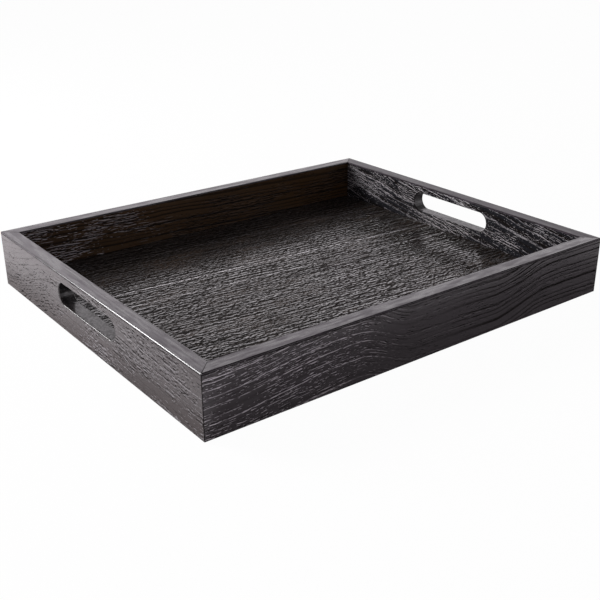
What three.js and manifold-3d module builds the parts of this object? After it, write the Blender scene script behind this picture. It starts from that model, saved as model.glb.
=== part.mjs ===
// A handled display tray in black-stained oak. Four mitred rails stand round a captive floor panel.
// Each rail is a core with a sawn veneer on both faces and a lipping along its top, and is grooved
// for the floor. A biscuit is hidden in every mitre, and each end has a hand hole.
//
// Millimetres, +Z up. The origin is the middle of the footprint, on the surface the tray stands on.
// +X runs along the tray to its right end, and +Y to its back.

import * as THREE from "three";
import { mergeVertices } from "three/addons/utils/BufferGeometryUtils.js";
import Module from "manifold-3d";

const wasm = await Module();
wasm.setup();

// Outside size of the tray
const LENGTH = 508;
const WIDTH = 424;
const HEIGHT = 63.5;

// Rails: thickness over both veneers, and what the veneers and the lipping take of it
const RAIL_THICKNESS = 16;
const RAIL_VENEER = 1.2;
const VENEER_LIFT = 0.6; // the outer veneers stop short of the surface, so that their edges don't chip
const LIPPING_HEIGHT = 1.6;
const LIPPING_ROUND = 0.8;

// Floor panel, from its shown face down
const FLOOR_FACE_VENEER = 1.2;
const FLOOR_CORE = 3.2;
const FLOOR_BACKING_VENEER = 0.6;

// Groove that holds the floor, and the lip of rail left under it
const FLOOR_LIP = 9.5;
const GROOVE_DEPTH = 6;
const GROOVE_CLEARANCE = 0.15;
const FLOOR_EXPANSION_GAP = 0.5;

// Hand hole: a slot with round ends, set below the top of the end rail by a bar that the hand holds
const HOLE_LENGTH = 124;
const HOLE_HEIGHT = 24;
const HOLE_BAR = 10;

// Mitre biscuits: a lens that stands on end across the mitre
const BISCUIT_LENGTH = 31;
const BISCUIT_WIDTH = 13;
const BISCUIT_THICKNESS = 4;
const BISCUIT_INSET = 13.5; // from the tray's corner, along the mitre, to the middle of the biscuit
const BISCUIT_SLOT_CLEARANCE = 0.3;

// Gaps that glue fills
const GLUE_LINE = 0.1;
const MITRE_GLUE_LINE = 0.2;

// How far a cutter runs past the face that it cuts through
const CUT_PAST = 5;

// Steps along one arc of each outline
const HOLE_ARC_STEPS = 48;
const LIPPING_ARC_STEPS = 6;
const BISCUIT_ARC_STEPS = 12;

// Heights that several pieces share
const RAIL_TOP = HEIGHT - LIPPING_HEIGHT - GLUE_LINE;
const FLOOR_BOTTOM = FLOOR_LIP + GROOVE_CLEARANCE;
const FLOOR_CORE_BOTTOM = FLOOR_BOTTOM + FLOOR_BACKING_VENEER + GLUE_LINE;
const FLOOR_FACE_BOTTOM = FLOOR_CORE_BOTTOM + FLOOR_CORE + GLUE_LINE;
const FLOOR_TOP = FLOOR_FACE_BOTTOM + FLOOR_FACE_VENEER;
const GROOVE_TOP = FLOOR_TOP + GROOVE_CLEARANCE;
const BISCUIT_HEIGHT = (GROOVE_TOP + RAIL_TOP) / 2;

// Finishes
const veneerFinish = new THREE.MeshStandardMaterial({ color: 0x262425, roughness: 0.5, metalness: 0 });
const lippingFinish = new THREE.MeshStandardMaterial({ color: 0x2d2b2c, roughness: 0.45, metalness: 0 });
const coreFinish = new THREE.MeshStandardMaterial({ color: 0x1f1c1b, roughness: 0.6, metalness: 0 });
const plywoodFinish = new THREE.MeshStandardMaterial({ color: 0x957f65, roughness: 0.8, metalness: 0 });
const biscuitFinish = new THREE.MeshStandardMaterial({ color: 0xc9a273, roughness: 0.8, metalness: 0 });

// Turns a drawing in X and Y, extruded along Z, so that X goes to Y, Y to Z and the extrusion to X.
const ON_EDGE = new THREE.Matrix4().makeBasis(
  new THREE.Vector3(0, 1, 0),
  new THREE.Vector3(0, 0, 1),
  new THREE.Vector3(1, 0, 0),
);

// A closed geometry as a solid that can be cut.
function solidOf(geometry) {
  const bare = geometry.clone();
  bare.deleteAttribute("normal");
  bare.deleteAttribute("uv");
  const merged = mergeVertices(bare);
  return new wasm.Manifold(
    new wasm.Mesh({
      numProp: 3,
      vertProperties: new Float32Array(merged.attributes.position.array),
      triVerts: new Uint32Array(merged.index.array),
    }),
  );
}

// A solid as a geometry that a mesh can show.
function geometryOf(solid) {
  const mesh = solid.getMesh();
  const geometry = new THREE.BufferGeometry();
  geometry.setAttribute("position", new THREE.BufferAttribute(mesh.vertProperties, 3));
  geometry.setIndex(new THREE.BufferAttribute(mesh.triVerts, 1));
  geometry.computeVertexNormals();
  return geometry;
}

function cut(geometry, ...cutters) {
  const left = cutters.reduce((solid, cutter) => solid.subtract(solidOf(cutter)), solidOf(geometry));
  return geometryOf(left);
}

// A drawing in X and Y, extruded up Z. Each of its arcs gets two steps for every curve segment.
function extrude(shape, depth, arcSteps = 2) {
  return new THREE.ExtrudeGeometry(shape, { depth, curveSegments: arcSteps / 2, bevelEnabled: false });
}

// One layer of a rail, between two depths behind its outer face, mitred at both ends.
// A rail lies along X with its outer face towards -Y. It has a span, and a reach from the tray's
// middle to its outer face.
function railLayer(rail, fromDepth, toDepth, bottom, top) {
  const halfLength = (depth) => rail.span / 2 - depth - MITRE_GLUE_LINE / Math.SQRT2;
  const outline = new THREE.Shape([
    new THREE.Vector2(-halfLength(fromDepth), fromDepth - rail.reach),
    new THREE.Vector2(halfLength(fromDepth), fromDepth - rail.reach),
    new THREE.Vector2(halfLength(toDepth), toDepth - rail.reach),
    new THREE.Vector2(-halfLength(toDepth), toDepth - rail.reach),
  ]);
  return extrude(outline, top - bottom).translate(0, 0, bottom);
}

// The groove along a rail's inner face, as a cutter.
function floorGroove(rail) {
  const depth = GROOVE_DEPTH + CUT_PAST;
  const height = GROOVE_TOP - FLOOR_LIP;
  const inward = RAIL_THICKNESS - GROOVE_DEPTH + depth / 2;
  const groove = new THREE.BoxGeometry(rail.span, depth, height);
  return groove.translate(0, inward - rail.reach, FLOOR_LIP + height / 2);
}

// The hand hole through an end rail, as a cutter.
function handHole(rail) {
  const radius = HOLE_HEIGHT / 2;
  const endCentre = HOLE_LENGTH / 2 - radius;
  const outline = new THREE.Shape();
  outline.absarc(0, endCentre, radius, 0, Math.PI);
  outline.absarc(0, -endCentre, radius, Math.PI, 2 * Math.PI);
  const slot = extrude(outline, RAIL_THICKNESS + 2 * CUT_PAST, HOLE_ARC_STEPS);
  // The slot is drawn upright and laid on its side: its length goes to X and the extrusion to Y.
  const onSide = new THREE.Matrix4().makeBasis(
    new THREE.Vector3(0, 0, 1),
    new THREE.Vector3(1, 0, 0),
    new THREE.Vector3(0, 1, 0),
  );
  const middle = HEIGHT - HOLE_BAR - radius;
  return slot.applyMatrix4(onSide).translate(0, -rail.reach - CUT_PAST, middle);
}

// A lens that stands on end, with its thickness along X, its width along Y and its length along Z.
function lens(length, width, thickness) {
  const rise = width / 2;
  const radius = ((length / 2) ** 2 + rise ** 2) / (2 * rise);
  const spread = Math.asin(length / 2 / radius);
  const outline = new THREE.Shape();
  outline.absarc(rise - radius, 0, radius, -spread, spread);
  outline.absarc(radius - rise, 0, radius, Math.PI - spread, Math.PI + spread);
  const plate = extrude(outline, thickness, BISCUIT_ARC_STEPS);
  return plate.translate(0, 0, -thickness / 2).applyMatrix4(ON_EDGE);
}

// The slots that a rail's core has in its two mitred ends, as cutters.
function biscuitSlots(rail) {
  return [-1, 1].map((end) => {
    const slot = lens(
      BISCUIT_LENGTH + 2 * BISCUIT_SLOT_CLEARANCE,
      BISCUIT_WIDTH + 2 * BISCUIT_SLOT_CLEARANCE,
      BISCUIT_THICKNESS + 2 * BISCUIT_SLOT_CLEARANCE,
    );
    const inward = Math.atan2(1, -end);
    return slot
      .translate(BISCUIT_INSET, 0, BISCUIT_HEIGHT)
      .rotateZ(inward)
      .translate((end * rail.span) / 2, -rail.reach, 0);
  });
}

function coreGeometry(rail) {
  const skin = RAIL_VENEER + GLUE_LINE;
  const blank = railLayer(rail, skin, RAIL_THICKNESS - skin, 0, RAIL_TOP);
  const cutters = [floorGroove(rail), ...biscuitSlots(rail)];
  return cut(blank, ...cutters, ...(rail.hasHole ? [handHole(rail)] : []));
}

function veneerGeometry(rail, fromDepth, bottom) {
  const sheet = railLayer(rail, fromDepth, fromDepth + RAIL_VENEER, bottom, RAIL_TOP);
  return rail.hasHole ? cut(sheet, handHole(rail)) : sheet;
}

// A strip as wide as the rail, with both of its top edges rounded and its ends mitred.
function lippingGeometry(rail) {
  const section = new THREE.Shape();
  section.moveTo(0, 0);
  section.lineTo(RAIL_THICKNESS, 0);
  const shoulder = LIPPING_HEIGHT - LIPPING_ROUND;
  section.absarc(RAIL_THICKNESS - LIPPING_ROUND, shoulder, LIPPING_ROUND, 0, Math.PI / 2);
  section.absarc(LIPPING_ROUND, shoulder, LIPPING_ROUND, Math.PI / 2, Math.PI);
  section.closePath();
  const strip = extrude(section, rail.span, LIPPING_ARC_STEPS)
    .translate(0, 0, -rail.span / 2)
    .applyMatrix4(ON_EDGE)
    .translate(0, -rail.reach, HEIGHT - LIPPING_HEIGHT);
  const mitred = railLayer(rail, -CUT_PAST, RAIL_THICKNESS + CUT_PAST, 0, HEIGHT + CUT_PAST);
  return geometryOf(solidOf(strip).intersect(solidOf(mitred)));
}

function piece(name, geometry, finish) {
  const mesh = new THREE.Mesh(geometry, finish);
  mesh.name = name;
  return mesh;
}

function railGroup(rail) {
  const group = new THREE.Group();
  group.rotation.z = rail.turn;
  group.add(
    piece(`${rail.name}_core`, coreGeometry(rail), coreFinish),
    piece(`${rail.name}_outer_veneer`, veneerGeometry(rail, 0, VENEER_LIFT), veneerFinish),
    piece(
      `${rail.name}_inner_veneer`,
      veneerGeometry(rail, RAIL_THICKNESS - RAIL_VENEER, GROOVE_TOP),
      veneerFinish,
    ),
    piece(`${rail.name}_top_lipping`, lippingGeometry(rail), lippingFinish),
  );
  return group;
}

function floorSheet(name, thickness, bottom, finish) {
  const intoGrooves = 2 * (GROOVE_DEPTH - FLOOR_EXPANSION_GAP - RAIL_THICKNESS);
  const sheet = new THREE.BoxGeometry(LENGTH + intoGrooves, WIDTH + intoGrooves, thickness);
  const mesh = piece(name, sheet, finish);
  mesh.position.z = bottom + thickness / 2;
  return mesh;
}

function floorGroup() {
  const group = new THREE.Group();
  group.add(
    floorSheet("floor_backing_veneer", FLOOR_BACKING_VENEER, FLOOR_BOTTOM, veneerFinish),
    floorSheet("floor_core", FLOOR_CORE, FLOOR_CORE_BOTTOM, plywoodFinish),
    floorSheet("floor_face_veneer", FLOOR_FACE_VENEER, FLOOR_FACE_BOTTOM, veneerFinish),
  );
  return group;
}

// A biscuit in one mitre, in a group that stands at the tray's corner and faces its middle.
function cornerGroup(name, sideX, sideY) {
  const group = new THREE.Group();
  group.position.set((sideX * LENGTH) / 2, (sideY * WIDTH) / 2, BISCUIT_HEIGHT);
  group.rotation.z = Math.atan2(-sideY, -sideX);
  const biscuit = piece(name, lens(BISCUIT_LENGTH, BISCUIT_WIDTH, BISCUIT_THICKNESS), biscuitFinish);
  biscuit.position.x = BISCUIT_INSET;
  group.add(biscuit);
  return group;
}

const rails = [
  { name: "front_rail", span: LENGTH, reach: WIDTH / 2, turn: 0, hasHole: false },
  { name: "right_end", span: WIDTH, reach: LENGTH / 2, turn: Math.PI / 2, hasHole: true },
  { name: "back_rail", span: LENGTH, reach: WIDTH / 2, turn: Math.PI, hasHole: false },
  { name: "left_end", span: WIDTH, reach: LENGTH / 2, turn: -Math.PI / 2, hasHole: true },
];

const tray = new THREE.Group();
tray.add(
  ...rails.map(railGroup),
  floorGroup(),
  cornerGroup("mitre_biscuit_front_left", -1, -1),
  cornerGroup("mitre_biscuit_front_right", 1, -1),
  cornerGroup("mitre_biscuit_back_left", -1, 1),
  cornerGroup("mitre_biscuit_back_right", 1, 1),
);

export default tray;
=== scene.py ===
"""The looks of a display tray in black-stained, open-grain oak.

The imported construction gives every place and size. The veneers and the lippings are modelled again with
eased edges, and the other pieces keep their shapes. All of them get procedural wood finishes. Lengths are
metres in the tray's own frame: +X to the right end, +Y to the back rail, +Z up, with the origin under the
middle.
"""

import logging
import math
from collections.abc import Callable, Iterator
from dataclasses import dataclass, field
from enum import Enum
from functools import partial, reduce
from itertools import chain

import bmesh
import bpy
from mathutils import Matrix, Quaternion, Vector


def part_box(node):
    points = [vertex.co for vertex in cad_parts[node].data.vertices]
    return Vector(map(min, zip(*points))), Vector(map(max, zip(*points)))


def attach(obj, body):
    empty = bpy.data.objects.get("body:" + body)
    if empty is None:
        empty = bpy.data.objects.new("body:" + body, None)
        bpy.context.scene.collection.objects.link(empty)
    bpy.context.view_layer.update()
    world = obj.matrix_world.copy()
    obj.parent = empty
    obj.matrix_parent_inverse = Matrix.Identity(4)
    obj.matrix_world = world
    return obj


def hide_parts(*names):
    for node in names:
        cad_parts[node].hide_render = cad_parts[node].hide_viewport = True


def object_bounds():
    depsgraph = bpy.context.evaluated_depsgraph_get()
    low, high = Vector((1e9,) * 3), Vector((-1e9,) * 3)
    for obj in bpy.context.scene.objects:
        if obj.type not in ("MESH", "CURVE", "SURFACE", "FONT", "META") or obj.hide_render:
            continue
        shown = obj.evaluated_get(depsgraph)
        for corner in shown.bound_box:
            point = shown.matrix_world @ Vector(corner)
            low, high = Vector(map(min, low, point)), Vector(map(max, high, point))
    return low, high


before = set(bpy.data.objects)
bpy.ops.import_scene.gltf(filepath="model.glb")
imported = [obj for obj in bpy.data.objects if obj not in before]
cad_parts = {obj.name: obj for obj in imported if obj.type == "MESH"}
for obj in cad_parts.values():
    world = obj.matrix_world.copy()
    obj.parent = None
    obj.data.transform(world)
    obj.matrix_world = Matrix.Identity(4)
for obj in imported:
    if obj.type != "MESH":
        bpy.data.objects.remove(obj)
cad_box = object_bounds()

LOG = logging.getLogger("display_tray")

MM = 0.001
NEAR = 1e-6
SMOOTH_ANGLE = math.radians(35.0)
FLAT_NORMAL = 0.9995

# The face attribute of eased edges, with its value on a plain edge and beside a corner or a joint.
EASED_EDGE = "eased_edge"
EDGE_MARK = 1.0
JOINT_MARK = 2.0

# The places of the factor, the colours and the result among a Mix node's sockets.
MIX_INPUTS = (0, 6, 7)
MIX_RESULT = 2

Socket = bpy.types.NodeSocket
Feed = bpy.types.NodeSocket | float | tuple[float, ...]
Colour = tuple[float, float, float]
Cells = tuple[float, float, float]
Span = tuple[float, float]

WHITE: Colour = (1.0, 1.0, 1.0)


class Side(Enum):
    """The tray's four sides, by the first words of their pieces' names."""

    FRONT = "front_rail"
    RIGHT = "right_end"
    BACK = "back_rail"
    LEFT = "left_end"

    @property
    def quarter_turns(self) -> int:
        """Quarter turns about +Z that bring the front side here."""
        return list(Side).index(self)

    @property
    def is_end(self) -> bool:
        """Whether the side is one of the two short ones."""
        return self in (Side.LEFT, Side.RIGHT)


class Lie(Enum):
    """How a sheet of wood lies: the tray axes that run along, across and through it."""

    UPRIGHT_ALONG_X = ("X", "Z", "Y")
    UPRIGHT_ALONG_Y = ("Y", "Z", "X")
    FLAT_ALONG_X = ("X", "Y", "Z")


class Graph:
    """A shader node tree with short ways to add and join nodes."""

    def __init__(self, tree: bpy.types.NodeTree) -> None:
        """Keep the tree that the nodes go into."""
        self.tree = tree

    def feed(self, socket: Socket, value: Feed) -> None:
        """Link a socket to the value, or set the value on it where it is a constant.

        Args:
            socket: The input.
            value: What it gets.
        """
        if isinstance(value, bpy.types.NodeSocket):
            self.tree.links.new(value, socket)
        else:
            socket.default_value = value

    def feed_all(self, node: bpy.types.Node, feeds: dict[str, Feed]) -> None:
        """Link or set each named input of a node."""
        for name, value in feeds.items():
            self.feed(node.inputs[name], value)

    def node(self, kind: str, feeds: dict[str, Feed] | None = None, **settings: object) -> bpy.types.Node:
        """Add one node.

        Args:
            kind: The node's type name.
            feeds: What each named input is linked or set to.
            settings: The node's own properties.

        Returns:
            The new node.
        """
        made = self.tree.nodes.new(kind)
        for name, setting in settings.items():
            setattr(made, name, setting)
        self.feed_all(made, feeds or {})
        return made

    def group(self, tree: bpy.types.NodeTree, feeds: dict[str, Feed]) -> bpy.types.NodeOutputs:
        """Place a node group with its inputs linked or set, and give its outputs."""
        return self.node("ShaderNodeGroup", feeds, node_tree=tree).outputs

    def math(self, operation: str, *values: Feed) -> Socket:
        """Add a Math node.

        Args:
            operation: The node's operation.
            values: Its inputs in order.

        Returns:
            The result's socket.
        """
        made = self.node("ShaderNodeMath", operation=operation)
        for socket, value in zip(made.inputs, values):
            self.feed(socket, value)
        return made.outputs[0]

    def product(self, *values: Feed) -> Socket:
        """Multiply values in order."""
        return reduce(partial(self.math, "MULTIPLY"), values)

    def largest(self, *values: Feed) -> Socket:
        """Take the largest of some values."""
        return reduce(partial(self.math, "MAXIMUM"), values)

    def rest(self, value: Feed) -> Socket:
        """Take a value away from 1."""
        return self.math("SUBTRACT", 1.0, value)

    def ramp(self, value: Feed, low: Feed, high: Feed, start: Feed = 0.0, end: Feed = 1.0) -> Socket:
        """Step smoothly from start to end while the value goes from low to high."""
        feeds = {"Value": value, "From Min": low, "From Max": high, "To Min": start, "To Max": end}
        return self.node("ShaderNodeMapRange", feeds, interpolation_type="SMOOTHSTEP").outputs[0]

    def blend(self, factor: Feed, first: Feed, second: Feed, blend_type: str = "MIX") -> Socket:
        """Mix two colours.

        Args:
            factor: How much of the second colour there is.
            first: The first colour.
            second: The second colour.
            blend_type: The Mix node's blend type.

        Returns:
            The mixed colour's socket.
        """
        made = self.node("ShaderNodeMix", data_type="RGBA", blend_type=blend_type)
        for place, value in zip(MIX_INPUTS, (factor, opaque(first), opaque(second))):
            self.feed(made.inputs[place], value)
        return made.outputs[MIX_RESULT]

    def combine(self, x: Feed, y: Feed, z: Feed) -> Socket:
        """Make a vector of three values."""
        return self.node("ShaderNodeCombineXYZ", {"X": x, "Y": y, "Z": z}).outputs[0]

    def separate(self, vector: Feed) -> tuple[Socket, Socket, Socket]:
        """Take a vector apart into its three values."""
        outputs = self.node("ShaderNodeSeparateXYZ", {"Vector": vector}).outputs
        return outputs["X"], outputs["Y"], outputs["Z"]

    def noise(self, vector: Feed, detail: float = 2.0, scale: Feed = 1.0) -> Socket:
        """Add a noise from 0 to 1, most of it near the middle, with scale cells to a unit of the vector."""
        feeds = {"Vector": vector, "Scale": scale, "Detail": detail}
        return self.node("ShaderNodeTexNoise", feeds, noise_dimensions="3D").outputs[0]

    def stretched(self, place: Feed, cells: Cells, detail: float = 2.0) -> Socket:
        """Add a noise with its own number of cells to a metre on each axis."""
        mapped = self.node("ShaderNodeMapping", {"Vector": place, "Scale": cells})
        return self.noise(mapped.outputs[0], detail)

    def sheet_noise(self, along: Feed, across: Feed, cells: Span, seed: Feed) -> Socket:
        """Add a noise with its own number of cells to a unit along a sheet and across it."""
        return self.noise(self.combine(self.product(along, cells[0]), self.product(across, cells[1]), seed))

    def bump(self, height: Feed) -> Socket:
        """Turn a height in metres into a normal."""
        return self.node("ShaderNodeBump", {"Distance": 1.0, "Height": height}).outputs[0]


def opaque(colour: Feed) -> Feed:
    """Add full alpha to a constant colour of three values.

    Args:
        colour: The colour, or a socket that gives one.

    Returns:
        The colour with its alpha, or the socket as it was.
    """
    if isinstance(colour, tuple) and len(colour) == len(WHITE):
        return (*colour, 1.0)
    return colour


class EffectGroup:
    """A shader node group under construction, with named inputs and outputs."""

    def __init__(self, name: str, inputs: dict[str, float | None], outputs: tuple[str, ...]) -> None:
        """Make the group's tree and sockets.

        Args:
            name: The group's name.
            inputs: Each input's default, or None for a vector.
            outputs: The outputs' names, all of them values.
        """
        self.tree = bpy.data.node_groups.new(name, "ShaderNodeTree")
        for label, default in inputs.items():
            kind = "NodeSocketVector" if default is None else "NodeSocketFloat"
            made = self.tree.interface.new_socket(name=label, in_out="INPUT", socket_type=kind)
            if default is not None:
                made.default_value = default
        for label in outputs:
            self.tree.interface.new_socket(name=label, in_out="OUTPUT", socket_type="NodeSocketFloat")
        self.graph = Graph(self.tree)
        self.inputs = self.graph.node("NodeGroupInput").outputs
        self.outputs = self.graph.node("NodeGroupOutput").inputs

    def put_out(self, **values: Socket) -> None:
        """Link the outputs.

        Args:
            values: What each output gets, by its name in lower case.
        """
        for name, value in values.items():
            self.graph.feed(self.outputs[name.capitalize()], value)


class Effects:
    """The effects that the finishes share, each a node group that is built once.

    Cells are counted to a metre along and across a sheet, and the fibres' to a pore's length along it.
    Rises and falls are spans of a ring's width, and levels are those of a noise.
    """

    SLOW_CELLS: Span = (9.0, 24.0)
    QUICK_CELLS: Span = (38.0, 70.0)
    QUICK_SHARE = 0.28
    DRIFT_MIDDLE = 0.64
    UNEVEN_BEAT = 1.7
    UNEVEN_SHARE = 0.3
    BAND_RISE: Span = (0.0, 0.06)
    BAND_FULL = 0.4
    RELIEF_RISE: Span = (0.08, 0.72)
    RELIEF_FALL: Span = (0.93, 1.0)
    CREST_RISE: Span = (0.78, 0.88)
    CREST_FALL: Span = (0.95, 1.0)
    LEAST_STRENGTH = 0.65
    PORE_SHIFT = 0.7
    PORE_DETAIL = 1.0
    SPARSE_LEVEL = 0.3
    CROWDED_LEVEL = 0.02
    PORE_STEP = 0.06
    FLECK_LEVELS: Span = (0.45, 0.54)
    FIBRE_CELLS: Span = (0.5, 1400.0)
    # The painted shade on eased edges is broken up between these levels of its noise.
    PAINTED_SHADE_LEVELS: Span = (0.35, 0.65)

    def __init__(self) -> None:
        """Build every group."""
        self.growth_rings = self._growth_rings()
        self.open_pores = self._open_pores()
        self.painted_edge_shade = self._painted_edge_shade()

    def _growth_rings(self) -> bpy.types.NodeTree:
        """Build the rings of a sawn face.

        The pith runs behind the face. Rings are as wide as the pitch, and each starts with a dark band of
        the given share of it. The log's taper slants the rings, and the lift raises them where the grain
        swings.

        Returns:
            The group's tree.
        """
        made = EffectGroup(
            "growth rings",
            {
                "Place": None, "Pith Height": 0.0, "Pith Depth": 0.01, "Taper": 0.0, "Lift": 0.0,
                "Pitch": 0.006, "Band": 0.45, "Wander": 0.004, "Seed": 0.0,
            },
            ("Radius", "Earlywood", "Relief", "Crest", "Strength", "Draw"),
        )
        graph, given = made.graph, made.inputs
        along, across, _ = graph.separate(given["Place"])
        slow, quick = (
            graph.sheet_noise(along, across, cells, given["Seed"])
            for cells in (self.SLOW_CELLS, self.QUICK_CELLS)
        )
        drift = graph.math("MULTIPLY_ADD", quick, self.QUICK_SHARE, slow)
        wander = graph.product(graph.math("SUBTRACT", drift, self.DRIFT_MIDDLE), given["Wander"])
        height = graph.math("SUBTRACT", across, given["Pith Height"])
        depth = given["Pith Depth"]
        squares = graph.math("MULTIPLY_ADD", height, height, graph.product(depth, depth))
        drawn = graph.math("SUBTRACT", graph.product(along, given["Taper"]), given["Lift"])
        radius = graph.math("ADD", graph.math("ADD", graph.math("SQRT", squares), drawn), wander)
        count = graph.math("DIVIDE", radius, given["Pitch"])
        uneven = graph.math("SINE", graph.math("MULTIPLY_ADD", count, self.UNEVEN_BEAT, given["Seed"]))
        count = graph.math("MULTIPLY_ADD", uneven, self.UNEVEN_SHARE, count)
        phase = graph.math("FRACT", count)
        number = graph.math("ADD", graph.math("FLOOR", count), given["Seed"])
        draw = graph.node("ShaderNodeTexWhiteNoise", {"W": number}, noise_dimensions="1D").outputs["Value"]
        band_fall = graph.ramp(phase, graph.product(given["Band"], self.BAND_FULL), given["Band"], 1.0, 0.0)
        rise, fall = (graph.ramp(phase, *span) for span in (self.RELIEF_RISE, self.RELIEF_FALL))
        crest_fall = graph.ramp(phase, *self.CREST_FALL, 1.0, 0.0)
        made.put_out(
            radius=radius,
            earlywood=graph.product(band_fall, graph.ramp(phase, *self.BAND_RISE)),
            relief=graph.math("SUBTRACT", rise, fall),
            crest=graph.product(graph.ramp(phase, *self.CREST_RISE), crest_fall),
            strength=graph.ramp(draw, 0.0, 1.0, self.LEAST_STRENGTH, 1.0),
            draw=draw,
        )
        return made.tree

    def _open_pores(self) -> bpy.types.NodeTree:
        """Build the open grain: short sunk pores, with raised ridges between them, that run with the rings.

        Returns:
            The group's tree.
        """
        made = EffectGroup(
            "open pores",
            {"Place": None, "Radius": 0.0, "Crowding": 0.0, "Length": 0.012, "Width": 0.001, "Seed": 0.0},
            ("Raised", "Sunk", "Fibre", "Fleck"),
        )
        graph, given = made.graph, made.inputs
        along, across, _ = graph.separate(given["Place"])
        row = graph.math("DIVIDE", given["Radius"], given["Width"])
        step = graph.math("DIVIDE", along, given["Length"])
        here, beside = (
            graph.noise(graph.combine(step, line, given["Seed"]), self.PORE_DETAIL)
            for line in (row, graph.math("ADD", row, self.PORE_SHIFT))
        )
        slope = graph.math("SUBTRACT", here, beside)
        start = graph.ramp(given["Crowding"], 0.0, 1.0, self.SPARSE_LEVEL, self.CROWDED_LEVEL)
        end = graph.math("ADD", start, self.PORE_STEP)
        made.put_out(
            raised=graph.ramp(slope, start, end),
            sunk=graph.ramp(graph.product(slope, -1.0), start, end),
            fibre=graph.sheet_noise(step, across, self.FIBRE_CELLS, given["Seed"]),
            fleck=graph.ramp(here, *self.FLECK_LEVELS),
        )
        return made.tree

    def _painted_edge_shade(self) -> bpy.types.NodeTree:
        """Build the painted shade of eased edges: a darker colour where the rounded edge catches shade,
        broken up by a fine noise.

        Returns:
            The group's tree.
        """
        made = EffectGroup("painted edge shade", {"Place": None, "Edge": 0.0, "Cell": 0.01}, ("Stain",))
        graph, given = made.graph, made.inputs
        patches = graph.noise(given["Place"], detail=3.0, scale=graph.math("DIVIDE", 1.0, given["Cell"]))
        made.put_out(stain=graph.product(given["Edge"], graph.ramp(patches, *self.PAINTED_SHADE_LEVELS)))
        return made.tree


@dataclass(frozen=True)
class Figure:
    """How one sheet was sawn from the log, which sets the lines on its face.

    The pith, the taper and the pitch place the rings, and each swing lifts them by its last value between
    its first two places along the sheet. The sheens are weights of lacquer. Two shares set how pale the
    ridges and the rings' crests are painted: that paleness is mostly painted glint of the brushed relief,
    over slightly paler latewood. The paleness ends and the dark bands start over a span along the sheet.
    """

    pith_height: float
    pith_depth: float
    taper: float
    seed: float
    swings: tuple[tuple[float, float, float], ...] = ()
    pitch: float = 6.0 * MM
    band: float = 0.45
    wander: float = 7.0 * MM
    spread: float = 0.45
    patchy: float = 0.5
    crest: float = 0.3
    broken: float = 0.9
    sheen: float = 0.75
    foot_sheen: float = 1.0
    edge_sheen: float = 0.75
    ridge_glint: float = 1.0
    crest_glint: float = 1.0
    ridge_glint_end: Span = (1.0, 2.0)
    band_start: Span = (-2.0, -1.0)
    mottle: float = 0.0
    streak_length: float = 3.0
    grain_length: float = 10.0 * MM
    grain_width: float = 1.6 * MM
    stain: Colour = (0.013, 0.0102, 0.0098)


def quiet_figure(pith_height: float, pith_depth: float, taper: float, seed: float) -> Figure:
    """Saw a sheet for a face that the photo hides: the same oak, with a quieter figure.

    Args:
        pith_height: Where the pith lies across the sheet.
        pith_depth: How far behind the sheet it lies.
        taper: How the log's taper slants the rings.
        seed: Which log it is.

    Returns:
        The figure.
    """
    return Figure(
        pith_height, pith_depth, taper, seed, band=0.25, spread=0.5, patchy=0.9, crest=0.25, ridge_glint=0.5,
        crest_glint=0.6, sheen=0.92, grain_length=5.0 * MM,
    )


def empty_graph(owner: bpy.types.Material | bpy.types.World) -> Graph:
    """Give a material or a world a node tree with nothing in it.

    Args:
        owner: The material or world.

    Returns:
        Its graph.
    """
    owner.use_nodes = True
    owner.node_tree.nodes.clear()
    return Graph(owner.node_tree)


def new_material(name: str) -> tuple[bpy.types.Material, Graph, bpy.types.Node]:
    """Make a material that holds one Principled shader.

    Args:
        name: The material's name.

    Returns:
        The material, its graph and the shader.
    """
    material = bpy.data.materials.new(name)
    graph = empty_graph(material)
    shader = graph.node("ShaderNodeBsdfPrincipled")
    graph.node("ShaderNodeOutputMaterial", {"Surface": shader.outputs[0]})
    return material, graph, shader


def sheet_place(graph: Graph, lie: Lie) -> Socket:
    """Read a point's place along, across and through a sheet.

    Args:
        graph: The material's graph.
        lie: How the sheet lies in the tray.

    Returns:
        The place, in metres.
    """
    placed = graph.node("ShaderNodeTexCoord").outputs["Object"]
    axes = dict(zip("XYZ", graph.separate(placed)))
    return graph.combine(*(axes[letter] for letter in lie.value))


def edge_marks(graph: Graph, effects: Effects, place: Socket) -> tuple[Socket, Socket]:
    """Read the mark of eased edges, and how far the painted shade on them reaches."""
    edge = graph.node("ShaderNodeAttribute", attribute_name=EASED_EDGE).outputs["Fac"]
    # The group's Stain output is painted shade: a darker colour on eased edges where the rounded edge
    # catches shade.
    return edge, graph.group(effects.painted_edge_shade, {"Place": place, "Edge": edge})["Stain"]


def edge_coat(graph: Graph, edge: Socket, flat: Feed, eased: Feed) -> Socket:
    """Change the lacquer's weight on eased edges, and leave none beside corners and joints."""
    lacquer = graph.ramp(edge, 0.0, EDGE_MARK, flat, eased)
    return graph.product(lacquer, graph.ramp(edge, EDGE_MARK, JOINT_MARK, 1.0, 0.0))


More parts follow.
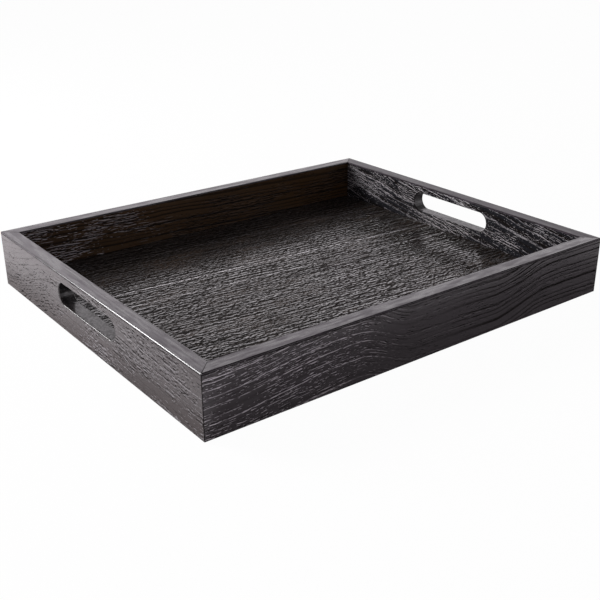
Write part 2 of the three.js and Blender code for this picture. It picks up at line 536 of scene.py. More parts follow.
@dataclass(frozen=True)
class OpenGrainOak:
    """Black-stained oak veneer, brushed so that the grain stands in relief, under satin lacquer.

    The lacquer lies on the ridges and has sunk away in the pores, so its weight follows the grain. Cells
    are counted to a metre along, across and through the sheet, and levels are those of a noise.
    """

    earlywood: Colour = (0.006, 0.004, 0.003)
    pore: Colour = (0.004, 0.0027, 0.002)
    # Painted glint: the pale colour of the ridges and the rings' crests stands in for glints of the brushed
    # relief, over slightly paler latewood.
    ridge: Colour = (0.3, 0.282, 0.296)
    # Painted shade: the darker colour of eased edges and joints, where the rounded edge catches shade.
    painted_edge_shade_colour: Colour = (0.01, 0.008, 0.008)
    dark_tone: Colour = (0.55, 0.52, 0.5)
    light_tone: Colour = (1.45, 1.48, 1.5)
    faint_band: float = 0.25
    band_dulling: float = 0.95
    crest_step: float = 0.05
    # How much of the raised grain and its painted glint is left at the end of its span.
    least_ridge_glint: float = 0.05
    streak_share: float = 0.8
    fine_sunk_share: float = 0.5
    fine_raised_share: float = 0.6
    flat_roughness: float = 0.42
    pore_roughness: float = 0.75
    fibre_roughness: float = 0.12
    lacquer_roughness: float = 0.15
    lacquer_index: float = 1.75
    bare_gloss: float = 0.06
    ring_depth: float = 0.2 * MM
    pore_depth: float = 0.22 * MM
    fibre_depth: float = 0.05 * MM
    foot_height: float = 45.0 * MM
    patch_cells: Cells = (13.0, 40.0, 40.0)
    patch_levels: Span = (0.35, 0.58)
    fleck_levels: Span = (0.38, 0.55)
    tone_cells: Cells = (7.0, 22.0, 22.0)
    tone_levels: Span = (0.35, 0.65)

    def material(self, name: str, effects: Effects, figure: Figure, lie: Lie) -> bpy.types.Material:
        """Make the finish for one sheet.

        Args:
            name: The material's name.
            effects: The shared node groups.
            figure: How the sheet was sawn.
            lie: How it lies in the tray.

        Returns:
            The material.
        """
        material, graph, shader = new_material(name)
        place = sheet_place(graph, lie)
        along, across, _ = graph.separate(place)
        lift: Feed = 0.0
        for start, end, rise in figure.swings:
            lift = graph.math("ADD", lift, graph.ramp(along, start, end, 0.0, rise))
        rings = graph.group(
            effects.growth_rings,
            {
                "Place": place, "Pith Height": figure.pith_height, "Pith Depth": figure.pith_depth,
                "Taper": figure.taper, "Lift": lift, "Pitch": figure.pitch, "Band": figure.band,
                "Wander": figure.wander, "Seed": figure.seed,
            },
        )
        begun = graph.ramp(along, *figure.band_start, self.faint_band, 1.0)
        band = graph.product(rings["Earlywood"], rings["Strength"], begun)
        patches = graph.stretched(place, self.patch_cells)
        sparse = 1.0 - figure.patchy
        crowding = graph.product(
            graph.largest(band, figure.spread), graph.ramp(patches, *self.patch_levels, sparse, 1.0)
        )
        # How much longer and wider than the figure's grain each kind is, and the shift of its seed.
        kinds = ((1.0, 1.0, 2.0), (figure.streak_length, 1.2, 5.0), (0.6, 0.75, 8.0))
        dashes, streaks, fine = (
            graph.group(
                effects.open_pores,
                {
                    "Place": place, "Radius": rings["Radius"], "Crowding": crowding,
                    "Length": figure.grain_length * longer, "Width": figure.grain_width * wider,
                    "Seed": figure.seed + shift,
                },
            )
            for longer, wider, shift in kinds
        )
        chosen = graph.ramp(rings["Draw"], 1.0 - figure.crest, 1.0 + self.crest_step - figure.crest)
        flecks = graph.product(
            graph.ramp(dashes["Fleck"], 0.0, 1.0, 1.0 - figure.broken, 1.0),
            graph.ramp(patches, *self.fleck_levels, sparse, 1.0),
        )
        # How much of the raised grain, and of its painted glint, is left along the sheet.
        ridge_glint = graph.ramp(along, *figure.ridge_glint_end, 1.0, self.least_ridge_glint)
        crest = graph.product(rings["Crest"], graph.product(chosen, flecks), ridge_glint)
        sunk, raised = (
            graph.largest(
                dashes[level],
                graph.product(streaks[level], self.streak_share),
                graph.product(fine[level], share),
            )
            for level, share in (("Sunk", self.fine_sunk_share), ("Raised", self.fine_raised_share))
        )
        sunk = graph.product(sunk, graph.rest(crest))
        raised = graph.product(graph.largest(graph.product(raised, ridge_glint), crest), graph.rest(sunk))
        tone = graph.stretched(place, self.tone_cells, detail=3.0)
        # stained tells how far the painted edge shade covers a point.
        edge, stained = edge_marks(graph, effects, place)

        colour = graph.blend(band, figure.stain, self.earlywood)
        # Paint glints: pale colour on the raised grain and on the rings' crests.
        colour = graph.blend(raised, colour, tuple(value * figure.ridge_glint for value in self.ridge))
        colour = graph.blend(crest, colour, tuple(value * figure.crest_glint for value in self.ridge))
        colour = graph.blend(sunk, colour, self.pore)
        colour = graph.blend(1.0, colour, graph.blend(tone, self.dark_tone, self.light_tone), "MULTIPLY")
        # Paint shade onto eased edges and joints.
        colour = graph.blend(stained, colour, self.painted_edge_shade_colour)

        roughness = graph.ramp(sunk, 0.0, 1.0, self.flat_roughness, self.pore_roughness)
        smoothest = graph.math("SUBTRACT", roughness, self.fibre_roughness / 2)
        roughness = graph.math("MULTIPLY_ADD", dashes["Fibre"], self.fibre_roughness, smoothest)

        lacquer = graph.product(
            graph.math("MULTIPLY_ADD", raised, 1.0 - figure.sheen, figure.sheen),
            graph.math("MULTIPLY_ADD", band, -self.band_dulling, 1.0),
            graph.rest(sunk),
            graph.ramp(tone, *self.tone_levels, 1.0 - figure.mottle, 1.0),
        )
        foot = graph.ramp(across, 0.0, self.foot_height, figure.foot_sheen, 1.0)
        lacquer = graph.product(edge_coat(graph, edge, lacquer, figure.edge_sheen), foot)

        relief = graph.product(rings["Relief"], rings["Strength"], self.ring_depth)
        relief = graph.math("MULTIPLY_ADD", sunk, -self.pore_depth, relief)
        relief = graph.math("MULTIPLY_ADD", raised, self.pore_depth / 2, relief)
        relief = graph.math("MULTIPLY_ADD", fine["Fibre"], self.fibre_depth, relief)

        feeds = {
            "Base Color": colour, "Roughness": roughness, "Coat Weight": lacquer,
            "Normal": graph.bump(relief), "Coat Roughness": self.lacquer_roughness,
            "Coat IOR": self.lacquer_index, "Specular IOR Level": self.bare_gloss,
        }
        graph.feed_all(shader, feeds)
        return material


@dataclass(frozen=True)
class Strip:
    """Which length of wood a lipping is, and how far its lacquer was rubbed down."""

    seed: float
    lacquer: float
    edge_lacquer: float
    line_dulling: float
    edge_end: Span = (1.0, 2.0)


@dataclass(frozen=True)
class SmoothOak:
    """Black-stained solid oak strip, sanded smooth with its pores filled, under satin lacquer."""

    ridge: Colour = (0.046, 0.036, 0.046)
    grain: Colour = (0.022, 0.017, 0.021)
    # Painted shade: the darker colour of eased edges and joints, where the rounded edge catches shade.
    painted_edge_shade_colour: Colour = (0.008, 0.006, 0.007)
    dark_cloud: Colour = (0.6, 0.6, 0.6)
    light_cloud: Colour = (1.4, 1.4, 1.4)
    roughness: float = 0.34
    grain_roughness: float = 0.46
    full_grain: float = 0.6
    grain_depth: float = 0.02 * MM
    lacquer_roughness: float = 0.26
    lacquer_index: float = 2.4
    bare_gloss: float = 0.15
    thin_coat: float = 0.45
    thick_coat: float = 1.55
    rubbed_edge: float = 0.1
    streak_cells: Cells = (55.0, 260.0, 260.0)
    streak_levels: Span = (0.35, 0.65)
    grain_levels: Span = (0.42, 0.68)
    cloud_cells: Cells = (16.0, 60.0, 60.0)
    line_cells: Cells = (14.0, 420.0, 420.0)
    line_levels: Span = (0.48, 0.64)

    def material(self, name: str, effects: Effects, lie: Lie, strip: Strip) -> bpy.types.Material:
        """Make the finish for one strip.

        Args:
            name: The material's name.
            effects: The shared node groups.
            lie: How the strip lies in the tray.
            strip: Which strip it is.

        Returns:
            The material.
        """
        material, graph, shader = new_material(name)
        place = sheet_place(graph, lie)
        shift = {"Vector": place, "Location": (strip.seed, 0.0, 0.0)}
        moved = graph.node("ShaderNodeMapping", shift).outputs[0]
        streaks = graph.stretched(moved, self.streak_cells, detail=3.0)
        clouds = graph.stretched(moved, self.cloud_cells, detail=3.0)
        lines = graph.stretched(moved, self.line_cells)
        # stained tells how far the painted edge shade covers a point.
        edge, stained = edge_marks(graph, effects, place)
        grain = graph.ramp(streaks, *self.grain_levels)

        cloudy = graph.blend(clouds, self.dark_cloud, self.light_cloud)
        colour = graph.blend(1.0, graph.blend(grain, self.ridge, self.grain), cloudy, "MULTIPLY")
        # Paint shade onto eased edges and joints.
        colour = graph.blend(stained, colour, self.painted_edge_shade_colour)
        worn = graph.product(grain, clouds)
        roughness = graph.ramp(worn, 0.0, self.full_grain, self.roughness, self.grain_roughness)

        thin, thick = strip.lacquer * self.thin_coat, min(strip.lacquer * self.thick_coat, 1.0)
        lacquer = graph.product(
            graph.ramp(streaks, *self.streak_levels, thin, thick),
            graph.ramp(lines, *self.line_levels, 1.0, 1.0 - strip.line_dulling),
        )
        along = graph.separate(place)[0]
        rubbed = strip.edge_lacquer * self.rubbed_edge
        edge_lacquer = graph.ramp(along, *strip.edge_end, strip.edge_lacquer, rubbed)

        feeds = {
            "Base Color": colour, "Roughness": roughness,
            "Coat Weight": edge_coat(graph, edge, lacquer, edge_lacquer),
            "Normal": graph.bump(graph.product(grain, -self.grain_depth)),
            "Coat Roughness": self.lacquer_roughness, "Coat IOR": self.lacquer_index,
            "Specular IOR Level": self.bare_gloss,
        }
        graph.feed_all(shader, feeds)
        return material


@dataclass(frozen=True)
class SealedBoard:
    """Fine pressed board, with its edges sealed and stained black."""

    face: Colour = (0.005, 0.004, 0.004)
    speck: Colour = (0.05, 0.044, 0.048)
    roughness: float = 0.42
    speck_roughness: float = 0.55
    lacquer_roughness: float = 0.2
    lacquer_index: float = 1.65
    bare_gloss: float = 0.2
    thin_coat: float = 0.45
    speck_size: float = 1.9 * MM
    grain_depth: float = 0.03 * MM
    cloud_cells: float = 45.0
    speck_levels: Span = (0.52, 0.68)
    cloud_levels: Span = (0.3, 0.7)
    coat_levels: Span = (0.4, 0.58)

    def material(self, name: str) -> bpy.types.Material:
        """Make the finish, which all four cores share.

        Args:
            name: The material's name.

        Returns:
            The material.
        """
        material, graph, shader = new_material(name)
        placed = graph.node("ShaderNodeTexCoord").outputs["Object"]
        specks = graph.noise(placed, scale=1.0 / self.speck_size)
        clouds = graph.noise(placed, detail=3.0, scale=self.cloud_cells)
        mask = graph.product(graph.ramp(specks, *self.speck_levels), clouds)
        feeds = {
            "Base Color": graph.blend(mask, self.face, self.speck),
            "Roughness": graph.ramp(clouds, *self.cloud_levels, self.roughness, self.speck_roughness),
            "Coat Weight": graph.ramp(specks, *self.coat_levels, self.thin_coat, 1.0),
            "Normal": graph.bump(graph.product(specks, self.grain_depth)),
            "Coat Roughness": self.lacquer_roughness, "Coat IOR": self.lacquer_index,
            "Specular IOR Level": self.bare_gloss,
        }
        graph.feed_all(shader, feeds)
        return material


@dataclass(frozen=True)
class BareWood:
    """Unfinished pale wood inside the joints: straight streaks with short darker flecks."""

    pale: Colour
    streak: Colour
    fleck: Colour
    roughness: float = 0.7
    streak_gloss: float = 0.08
    grain_depth: float = 0.06 * MM
    streak_cells: Cells = (90.0, 90.0, 700.0)
    streak_levels: Span = (0.35, 0.65)
    gloss_levels: Span = (0.2, 0.8)
    fleck_cells: Cells = (500.0, 500.0, 1800.0)
    fleck_levels: Span = (0.62, 0.7)

    def material(self, name: str) -> bpy.types.Material:
        """Make the finish.

        Args:
            name: The material's name.

        Returns:
            The material.
        """
        material, graph, shader = new_material(name)
        placed = graph.node("ShaderNodeTexCoord").outputs["Object"]
        streaks = graph.stretched(placed, self.streak_cells, detail=3.0)
        flecks = graph.stretched(placed, self.fleck_cells)
        colour = graph.blend(graph.ramp(streaks, *self.streak_levels), self.pale, self.streak)
        smoothest = self.roughness - self.streak_gloss
        feeds = {
            "Base Color": graph.blend(graph.ramp(flecks, *self.fleck_levels), colour, self.fleck),
            "Roughness": graph.ramp(streaks, *self.gloss_levels, smoothest, self.roughness),
            "Normal": graph.bump(graph.product(streaks, self.grain_depth)),
        }
        graph.feed_all(shader, feeds)
        return material


def new_object(name: str, bm: bmesh.types.BMesh) -> bpy.types.Object:
    """Put a finished mesh into the scene.

    Args:
        name: The object's name.
        bm: Its mesh, which is freed.

    Returns:
        The object, at the origin.
    """
    mesh = bpy.data.meshes.new(name)
    bm.to_mesh(mesh)
    bm.free()
    made = bpy.data.objects.new(name, mesh)
    bpy.context.scene.collection.objects.link(made)
    return made


def dress_node(node: str, material: bpy.types.Material) -> bpy.types.Object:
    """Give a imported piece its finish.

    Args:
        node: The piece's name.
        material: The finish.

    Returns:
        The piece.
    """
    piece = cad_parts[node]
    piece.data.materials.clear()
    piece.data.materials.append(material)
    return piece


@dataclass(frozen=True)
class HandHole:
    """The round-ended slot through an end, centred on it."""

    length: float = 124.0 * MM
    height: float = 24.0 * MM
    bar: float = 10.0 * MM
    margin: float = 4.0 * MM
    slack: float = 0.05 * MM
    arc_segments: int = 96

    @property
    def radius(self) -> float:
        """The radius of the slot's round ends."""
        return self.height / 2

    @property
    def reach(self) -> float:
        """How far the centres of the round ends are from the slot's middle."""
        return self.length / 2 - self.radius

    def middle(self, top: float) -> float:
        """Give the height of the slot's middle in a rail with this top."""
        return top - self.bar - self.radius

    def loop(self, bm: bmesh.types.BMesh, top: float, grow: float) -> list[bmesh.types.BMEdge]:
        """Draw the slot's outline in the plane where depth is 0.

        Args:
            bm: The mesh that gets the outline.
            top: The top of the rail.
            grow: How far outside the slot the outline runs.

        Returns:
            The outline's edges.
        """
        half_step = Matrix.Rotation(math.pi / self.arc_segments, 4, "Z")
        upright = Matrix.Rotation(math.pi / 2, 4, "X")
        centre = Matrix.Translation((0.0, 0.0, self.middle(top)))
        ring = bmesh.ops.create_circle(
            bm, segments=self.arc_segments, radius=self.radius + grow, matrix=centre @ upright @ half_step
        )["verts"]
        for sign in (-1.0, 1.0):
            half = [vert for vert in ring if vert.co.x * sign > 0.0]
            bmesh.ops.translate(bm, verts=half, vec=(sign * self.reach, 0.0, 0.0))
        return list(dict.fromkeys(edge for vert in ring for edge in vert.link_edges))

    def on_wall(self, place: Vector, top: float) -> bool:
        """Tell whether a point of a rail with this top lies on the slot's wall."""
        beyond = max(abs(place.x) - self.reach, 0.0)
        return math.hypot(beyond, place.z - self.middle(top)) < self.radius + self.slack


@dataclass(frozen=True)
class Ease:
    """An eased edge: which edges it takes, by a test of their points, its width and its number of flats."""

    chosen: Callable[[Vector], bool]
    width: float
    flats: int


@dataclass
class Rail:
    """One side of the tray: a core between two veneers, with a lipping along its top.

    A rail is built in its own frame, with X along it, Y inwards from its outer face and Z up, and is then
    turned to its side of the tray.
    """

    side: Side
    outer_figure: Figure
    inner_figure: Figure
    strip: Strip
    hole: HandHole | None = None
    outline_ease: float = 0.4 * MM
    joint_width: float = 1.2 * MM
    hole_ease: float = 1.1 * MM
    lipping_chamfer: float = 0.65 * MM
    mitre_ease: float = 0.4 * MM
    joint_ease: float = 0.45 * MM
    fine_flats: int = 3
    hole_flats: int = 4
    chamfer_flats: int = 1
    half_length: float = field(init=False)
    reach: float = field(init=False)
    setback: float = field(init=False)

    def __post_init__(self) -> None:
        """Read the rail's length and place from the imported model."""
        low, high = cad_box
        along, outward = (1, 0) if self.side.is_end else (0, 1)
        self.half_length = (high[along] - low[along]) / 2
        self.reach = (high[outward] - low[outward]) / 2
        self.setback = self.half_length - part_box(f"{self.side.value}_outer_veneer")[1][along]

    @property
    def top(self) -> float:
        """The height of the rim."""
        return cad_box[1].z

    @property
    def lie(self) -> Lie:
        """How the rail's veneers lie."""
        return Lie.UPRIGHT_ALONG_Y if self.side.is_end else Lie.UPRIGHT_ALONG_X

    def depths(self, node: str) -> tuple[float, float]:
        """Measure how deep a piece starts and ends behind the rail's outer face.

        Args:
            node: The piece's name.

        Returns:
            The two depths.
        """
        low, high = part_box(node)
        axis = 0 if self.side.is_end else 1
        inwards = sorted(self.reach - abs(corner[axis]) for corner in (low, high))
        return inwards[0], inwards[1]

    def _mitre(self, bm: bmesh.types.BMesh) -> None:
        """Cut both ends of a piece at 45 degrees and close them.

        Args:
            bm: The piece, which is left a closed solid with its faces outwards.
        """
        for sign in (-1.0, 1.0):
            bmesh.ops.bisect_plane(
                bm,
                geom=[*bm.verts, *bm.edges, *bm.faces],
                plane_co=(sign * (self.half_length - self.setback), 0.0, 0.0),
                plane_no=(sign, 1.0, 0.0),
                clear_outer=True,
            )
            bmesh.ops.holes_fill(bm, edges=[edge for edge in bm.edges if edge.is_boundary], sides=0)
        bmesh.ops.recalc_face_normals(bm, faces=bm.faces)

    def _slab(self, node: str) -> bmesh.types.BMesh:
        """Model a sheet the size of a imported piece, with the hand hole through it and mitred ends.

        Args:
            node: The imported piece's name.

        Returns:
            The sheet, in the rail's frame.
        """
        low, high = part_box(node)
        outer_depth, inner_depth = self.depths(node)
        thickness = inner_depth - outer_depth
        end = self.half_length - self.setback - outer_depth
        bm = bmesh.new()
        corners = [
            bm.verts.new((x * end, 0.0, z))
            for x, z in ((-1.0, low.z), (1.0, low.z), (1.0, high.z), (-1.0, high.z))
        ]
        outline = [bm.edges.new((corners[place - 1], corners[place])) for place in range(4)]
        if self.hole:
            wall = self.hole.loop(bm, self.top, 0.0)
            around = self.hole.loop(bm, self.top, self.hole.margin)
            bmesh.ops.bridge_loops(bm, edges=wall + around)
            outline += around
        bmesh.ops.triangle_fill(bm, edges=outline, use_beauty=True)
        bmesh.ops.translate(bm, verts=bm.verts, vec=(0.0, outer_depth, 0.0))
        grown = bmesh.ops.extrude_face_region(bm, geom=bm.faces)["geom"]
        for part in grown:
            if isinstance(part, bmesh.types.BMVert):
                part.co.y += thickness
                if abs(part.co.x) > end - NEAR:
                    part.co.x -= math.copysign(thickness, part.co.x)
        bmesh.ops.recalc_face_normals(bm, faces=bm.faces)
        return bm

    def _bar(self, node: str) -> bmesh.types.BMesh:
        """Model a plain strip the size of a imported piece, with mitred ends.

        Args:
            node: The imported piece's name.

        Returns:
            The strip, in the rail's frame.
        """
        low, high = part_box(node)
        outer_depth, inner_depth = self.depths(node)
        size = (2 * self.half_length, inner_depth - outer_depth, high.z - low.z)
        middle = Matrix.Translation((0.0, (outer_depth + inner_depth) / 2, (low.z + high.z) / 2))
        bm = bmesh.new()
        bmesh.ops.create_cube(bm, size=1.0, matrix=middle @ Matrix.Diagonal((*size, 1.0)))
        self._mitre(bm)
        return bm

    def _finish(self, bm: bmesh.types.BMesh, node: str, eases: list[Ease]) -> bpy.types.Object:
        """Ease and mark a piece's edges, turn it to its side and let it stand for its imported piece.

        Args:
            bm: The piece, in the rail's frame.
            node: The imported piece's name.
            eases: The edges to ease.

        Returns:
            The piece.
        """
        for ease in eases:
            sharp = [edge for edge in bm.edges if edge.calc_face_angle(0.0) > SMOOTH_ANGLE]
            chosen = [edge for edge in sharp if all(ease.chosen(vert.co) for vert in edge.verts)]
            bmesh.ops.bevel(
                bm, geom=chosen, offset=ease.width, offset_type="OFFSET", segments=ease.flats,
                profile=0.5, affect="EDGES", material=-1, clamp_overlap=True,
            )
        eased = bm.faces.layers.float.new(EASED_EDGE)
        for face in bm.faces:
            face.smooth = max(abs(value) for value in face.normal) < FLAT_NORMAL
            if face.smooth:
                face[eased] = JOINT_MARK if self._at_joint(face.calc_center_median()) else EDGE_MARK
        for edge in bm.edges:
            edge.smooth = edge.calc_face_angle(0.0) < SMOOTH_ANGLE
        turn = Matrix.Rotation(self.side.quarter_turns * math.pi / 2, 4, "Z")
        outwards = Matrix.Translation((0.0, -self.reach, 0.0))
        bmesh.ops.transform(bm, verts=bm.verts, matrix=turn @ outwards)
        piece = new_object(f"{node}_dressed", bm)
        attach(piece, "root")
        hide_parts(node)
        return piece

    def _hole_eases(self, on_face: Callable[[Vector], bool]) -> list[Ease]:
        """Ease the hand hole's edge on one face of a veneer.

        Args:
            on_face: Tells whether a point lies on that face.

        Returns:
            The ease, or none where the rail has no hole.
        """
        if not self.hole:
            return []

        def on_edge(place: Vector) -> bool:
            """Tell whether a point lies on the hole's edge."""
            return on_face(place) and self.hole.on_wall(place, self.top)

        return [Ease(on_edge, self.hole_ease, self.hole_flats)]

    def outer_veneer(self) -> bpy.types.Object:
        """Model the outer veneer, with its outline and its hand hole eased.

        Returns:
            The piece.
        """
        node = f"{self.side.value}_outer_veneer"
        low, high = (corner.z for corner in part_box(node))
        end = self.half_length - self.setback

        def outside(place: Vector) -> bool:
            """Tell whether a point lies on the outer face."""
            return place.y < NEAR

        def on_outline(place: Vector) -> bool:
            """Tell whether a point lies on the outer face's outline."""
            at_edge = abs(place.x) > end - NEAR or not low + NEAR < place.z < high - NEAR
            return outside(place) and at_edge

        eases = [Ease(on_outline, self.outline_ease, self.fine_flats), *self._hole_eases(outside)]
        return self._finish(self._slab(node), node, eases)

    def inner_veneer(self) -> bpy.types.Object:
        """Model the inner veneer, with its hand hole eased.

        Returns:
            The piece.
        """
        node = f"{self.side.value}_inner_veneer"
        inside = self.depths(node)[1] - NEAR
        return self._finish(self._slab(node), node, self._hole_eases(lambda place: place.y > inside))

    def lipping(self) -> bpy.types.Object:
        """Model the lipping, chamfered along its top and just eased at its mitres and lower outer edge.

        Returns:
            The piece.
        """
        node = f"{self.side.value}_top_lipping"
        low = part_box(node)[0].z
        inside = self.depths(node)[1] - NEAR

        def on_rim(place: Vector) -> bool:
            """Tell whether a point lies on the rim."""
            return place.z > self.top - NEAR

        chamfer = (self.lipping_chamfer, self.chamfer_flats)
        eases = [
            Ease(lambda place: on_rim(place) and place.y < NEAR, *chamfer),
            Ease(lambda place: on_rim(place) and place.y > inside, *chamfer),
            Ease(lambda place: place.z < low + NEAR and place.y < NEAR, self.joint_ease, self.fine_flats),
            Ease(lambda place: on_rim(place) and self._on_mitre(place), self.mitre_ease, self.fine_flats),
        ]
        return self._finish(self._bar(node), node, eases)

    def _at_joint(self, place: Vector) -> bool:
        """Tell whether a point lies by an upright corner or by the joint under the lipping.

        Args:
            place: The point, in the rail's frame.

        Returns:
            Whether it does.
        """
        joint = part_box(f"{self.side.value}_top_lipping")[0].z
        at_corner = abs(place.x) > self.half_length - self.joint_width
        return at_corner or abs(place.z - joint) < self.joint_width / 2

    def _on_mitre(self, place: Vector) -> bool:
        """Tell whether a point lies on one of the mitred ends."""
        return abs(place.x) + place.y > self.half_length - self.setback - NEAR

    def build(
        self, effects: Effects, veneer: OpenGrainOak, smooth: SmoothOak, board: bpy.types.Material
    ) -> Iterator[bpy.types.Object]:
        """Model and dress the rail's four pieces.

        Args:
            effects: The shared node groups.
            veneer: The veneers' finish.
            smooth: The lipping's finish.
            board: The core's finish.

        Yields:
            Each piece.
        """
        prefix = self.side.value
        sheets = (
            (self.outer_veneer(), "outer_veneer", self.outer_figure),
            (self.inner_veneer(), "inner_veneer", self.inner_figure),
        )
        for piece, name, figure in sheets:
            piece.data.materials.append(veneer.material(f"{prefix}_{name}_oak", effects, figure, self.lie))
            yield piece
        lipping = self.lipping()
        finish = smooth.material(f"{prefix}_lipping_oak", effects, self.lie, self.strip)
        lipping.data.materials.append(finish)
        yield lipping
        yield dress_node(f"{prefix}_core", board)


@dataclass
class FloorPanel:
    """The captive floor: an oak face over a plywood core and an oak backing."""

    # The face's pale ridges and crests are painted glint of the brushed relief.
    face_figure: Figure = Figure(
        pith_height=-0.296, pith_depth=0.05, taper=0.08, seed=1317.0, pitch=9.0 * MM, band=0.25,
        wander=4.0 * MM, spread=0.9, patchy=0.3, crest=0.08, broken=0.7, ridge_glint=0.2, crest_glint=1.8,
        sheen=0.08, mottle=0.25, grain_length=5.0 * MM, grain_width=2.45 * MM, streak_length=8.0,
        stain=(0.03, 0.018, 0.011),
    )
    backing_figure: Figure = quiet_figure(-0.3, 0.03, 0.05, 37.0)
    face_finish: OpenGrainOak = OpenGrainOak(lacquer_roughness=0.17, lacquer_index=4.0, bare_gloss=0.1)
    backing_finish: OpenGrainOak = OpenGrainOak()

    def build(self, effects: Effects, ply: BareWood) -> Iterator[bpy.types.Object]:
        """Dress the panel's three pieces.

        Args:
            effects: The shared node groups.
            ply: The core's finish.

        Yields:
            Each piece.
        """
        sheets = (
            ("floor_face_veneer", self.face_finish, self.face_figure),
            ("floor_backing_veneer", self.backing_finish, self.backing_figure),
        )
        for node, finish, figure in sheets:
            yield dress_node(node, finish.material(f"{node}_oak", effects, figure, Lie.FLAT_ALONG_X))
        yield dress_node("floor_core", ply.material("floor_core_ply"))


@dataclass
class MitreBiscuits:
    """The four hidden tongues that hold the mitres."""

    corners: tuple[str, ...] = ("front_left", "front_right", "back_left", "back_right")

    def build(self, beech: BareWood) -> Iterator[bpy.types.Object]:
        """Dress the biscuits.

        Args:
            beech: Their finish.

        Yields:
            Each biscuit.
        """
        finish = beech.material("biscuit_beech")
        for corner in self.corners:
            yield dress_node(f"mitre_biscuit_{corner}", finish)


@dataclass
class Studio:
    """A white floor, a soft lamp behind and to the left, a weaker one for reflections, and the camera."""

    floor_radius: float = 8.0
    floor_segments: int = 64
    floor_drop: float = 0.1 * MM
    floor_white: Colour = (0.9, 0.865, 0.9)
    sky_white: Colour = (1.0, 0.955, 0.99)
    floor_glow: float = 0.975
    sky_light: float = 0.5
    dome_edge: Span = (0.45, 0.75)
    ceiling: float = 0.12
    lamp_place: Vector = field(default_factory=lambda: Vector((-1.2, 1.36, 0.93)))
    lamp_size: Span = (0.85, 0.85)
    lamp_power: float = 56.0
    glint_place: Vector = field(default_factory=lambda: Vector((-1.05, 1.44, 0.82)))
    glint_size: Span = (0.5, 0.5)
    glint_power: float = 13.0
    eye: Vector = field(default_factory=lambda: Vector((-0.577796, -0.767833, 0.406285)))
    aim: Vector = field(default_factory=lambda: Vector((-0.061866, -0.087213, 0.03175)))
    roll: float = math.radians(-0.296)
    lens: float = 55.487
    sensor: float = 36.0

    def floor(self) -> None:
        """Lay the floor, which keeps the tray's shadow and looks white to the camera."""
        bm = bmesh.new()
        below = Matrix.Translation((0.0, 0.0, -self.floor_drop))
        bmesh.ops.create_circle(
            bm, cap_ends=True, segments=self.floor_segments, radius=self.floor_radius, matrix=below
        )
        floor = new_object("studio_floor", bm)
        material = bpy.data.materials.new("studio_white")
        graph = empty_graph(material)
        paint = graph.node("ShaderNodeBsdfDiffuse", {"Color": opaque(self.floor_white)})
        glow = graph.node("ShaderNodeEmission")
        seen = graph.node("ShaderNodeLightPath").outputs["Is Camera Ray"]
        mixed = graph.node("ShaderNodeMixShader", {"Fac": graph.product(seen, self.floor_glow)})
        graph.feed(mixed.inputs[1], paint.outputs[0])
        graph.feed(mixed.inputs[2], glow.outputs[0])
        graph.node("ShaderNodeOutputMaterial", {"Surface": mixed.outputs[0]})
        floor.data.materials.append(material)

    def sky(self) -> None:
        """Light the scene evenly, with a white surround in the picture and in reflections."""
        world = bpy.data.worlds.new("studio_sky")
        bpy.context.scene.world = world
        graph = empty_graph(world)
        rays = graph.node("ShaderNodeLightPath").outputs
        rise = graph.separate(graph.node("ShaderNodeTexCoord").outputs["Generated"])[2]
        dome = graph.ramp(rise, *self.dome_edge, 1.0, self.ceiling)
        shown = graph.largest(rays["Is Glossy Ray"], rays["Is Transmission Ray"])
        strength = graph.product(dome, graph.ramp(shown, 0.0, 1.0, self.sky_light, 1.0))
        strength = graph.largest(strength, rays["Is Camera Ray"])
        colour = graph.blend(rays["Is Camera Ray"], self.sky_white, WHITE)
        light = graph.node("ShaderNodeBackground", {"Color": colour, "Strength": strength})
        graph.node("ShaderNodeOutputWorld", {"Surface": light.outputs[0]})

    @staticmethod
    def aimed(
        name: str, data: bpy.types.ID, place: Vector, aim: Vector, roll: float = 0.0
    ) -> bpy.types.Object:
        """Put a lamp or a camera into the scene and point it.

        Args:
            name: The object's name.
            data: The lamp's or camera's data.
            place: Where it is.
            aim: The point that it looks at.
            roll: How far it is turned about its own line of sight.

        Returns:
            The object.
        """
        made = bpy.data.objects.new(name, data)
        made.location = place
        made.rotation_mode = "QUATERNION"
        level = (aim - place).to_track_quat("-Z", "Y")
        made.rotation_quaternion = level @ Quaternion((0.0, 0.0, 1.0), roll)
        bpy.context.scene.collection.objects.link(made)
        return made

    def lamp(self, name: str, place: Vector, size: Span, power: float) -> bpy.types.Object:
        """Hang a lamp that points at the tray.

        Args:
            name: The lamp's name.
            place: Where it hangs.
            size: Its width and height.
            power: Its power in watts.

        Returns:
            The lamp.
        """
        light = bpy.data.lights.new(name, "AREA")
        light.shape = "RECTANGLE"
        light.size, light.size_y = size
        light.energy = power
        return self.aimed(name, light, place, Vector())

    def camera(self) -> None:
        """Set the camera where the photograph was taken."""
        data = bpy.data.cameras.new("photo_camera")
        data.lens = self.lens
        data.sensor_width = self.sensor
        bpy.context.scene.camera = self.aimed("photo_camera", data, self.eye, self.aim, self.roll)

    def build(self) -> None:
        """Set up the whole studio.

        The soft lamp isn't reflected in the lacquer, and the glint lamp only is, so glare doesn't wash out
        the tray from the side that faces the lamps.
        """
        bpy.context.scene.view_settings.view_transform = "Standard"
        self.floor()
        self.sky()
        soft = self.lamp("soft_lamp", self.lamp_place, self.lamp_size, self.lamp_power)
        soft.visible_glossy = False
        glint = self.lamp("glint_lamp", self.glint_place, self.glint_size, self.glint_power)
        glint.visible_diffuse = False
        self.camera()


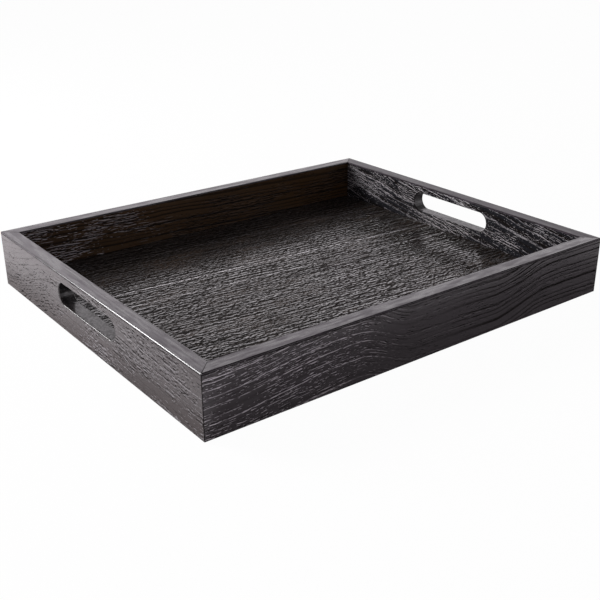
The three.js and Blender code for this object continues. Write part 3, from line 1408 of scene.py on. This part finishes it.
def tray_rails() -> list[Rail]:
    """List the tray's four rails with the wood that each is made of.

    Returns:
        The rails, from the front one to the right, back and left.
    """
    hole = HandHole()
    # In each figure the paleness of the ridges and crests is painted glint of the brushed relief.
    front = Rail(
        Side.FRONT,
        Figure(
            pith_height=-0.04, pith_depth=0.005, taper=0.02, seed=5071.0, pitch=6.5 * MM, band=0.42,
            swings=((-0.24, -0.1, 0.014), (-0.09, -0.02, -0.02), (0.085, 0.175, 0.017)),
            band_start=(0.0, 0.1), wander=7.0 * MM, spread=0.42, patchy=0.8, crest=0.5, ridge_glint=2.1,
            crest_glint=2.3, ridge_glint_end=(-0.13, -0.03), sheen=1.0, edge_sheen=0.0, streak_length=4.5,
            grain_length=7.5 * MM, grain_width=1.3 * MM, stain=(0.044, 0.038, 0.041),
        ),
        quiet_figure(-0.05, 0.02, 0.06, 7.0),
        Strip(seed=0.0, lacquer=0.68, edge_lacquer=0.0, line_dulling=0.3),
    )
    right = Rail(
        Side.RIGHT,
        quiet_figure(-0.06, 0.01, 0.1, 11.0),
        Figure(
            pith_height=-0.01, pith_depth=0.006, taper=-0.16, seed=13.0, pitch=8.0 * MM, wander=12.0 * MM,
            spread=0.55, patchy=0.7, crest=0.9, ridge_glint=1.25, sheen=0.04, edge_sheen=0.04, streak_length=5.0,
            grain_length=5.0 * MM, grain_width=1.2 * MM, stain=(0.01, 0.01, 0.0125),
        ),
        Strip(seed=0.9, lacquer=0.24, edge_lacquer=0.25, line_dulling=0.8),
        hole,
    )
    back = Rail(
        Side.BACK,
        quiet_figure(-0.045, 0.01, 0.08, 17.0),
        Figure(
            pith_height=-0.06, pith_depth=0.01, taper=0.03, seed=19.0, spread=0.6, patchy=0.9, ridge_glint=1.8,
            ridge_glint_end=(-0.2, -0.02), sheen=0.25, stain=(0.056, 0.03, 0.0125),
        ),
        Strip(seed=1.7, lacquer=1.0, edge_lacquer=0.4, line_dulling=0.75),
    )
    left = Rail(
        Side.LEFT,
        Figure(
            pith_height=-0.05, pith_depth=0.012, taper=0.0, seed=23.0, band=0.12, wander=6.0 * MM,
            swings=((-0.2, 0.03, 0.012), (0.07, 0.2, -0.03)), spread=0.5, patchy=0.95, crest=0.5, ridge_glint=0.6,
            crest_glint=0.8, ridge_glint_end=(0.0, 0.1), sheen=0.96, edge_sheen=0.96, foot_sheen=0.42,
            grain_length=5.0 * MM, grain_width=1.9 * MM, stain=(0.027, 0.0185, 0.0165),
        ),
        quiet_figure(-0.05, 0.012, 0.09, 29.0),
        Strip(seed=2.6, lacquer=1.0, edge_lacquer=0.9, line_dulling=0.35, edge_end=(-0.16, 0.15)),
        hole,
    )
    return [front, right, back, left]


def main() -> None:
    """Build the tray and the studio."""
    logging.basicConfig(level=logging.INFO, format="%(name)s: %(message)s")
    effects = Effects()
    veneer = OpenGrainOak()
    smooth = SmoothOak()
    board = SealedBoard().material("core_board")
    ply = BareWood(pale=(0.34, 0.24, 0.15), streak=(0.26, 0.18, 0.11), fleck=(0.2, 0.13, 0.08))
    beech = BareWood(pale=(0.62, 0.4, 0.2), streak=(0.54, 0.33, 0.15), fleck=(0.4, 0.22, 0.09))
    Studio().build()
    rails = (rail.build(effects, veneer, smooth, board) for rail in tray_rails())
    for piece in chain(*rails, FloorPanel().build(effects, ply), MitreBiscuits().build(beech)):
        LOG.info("%s", piece.name)


if __name__ == "__main__":
    main()
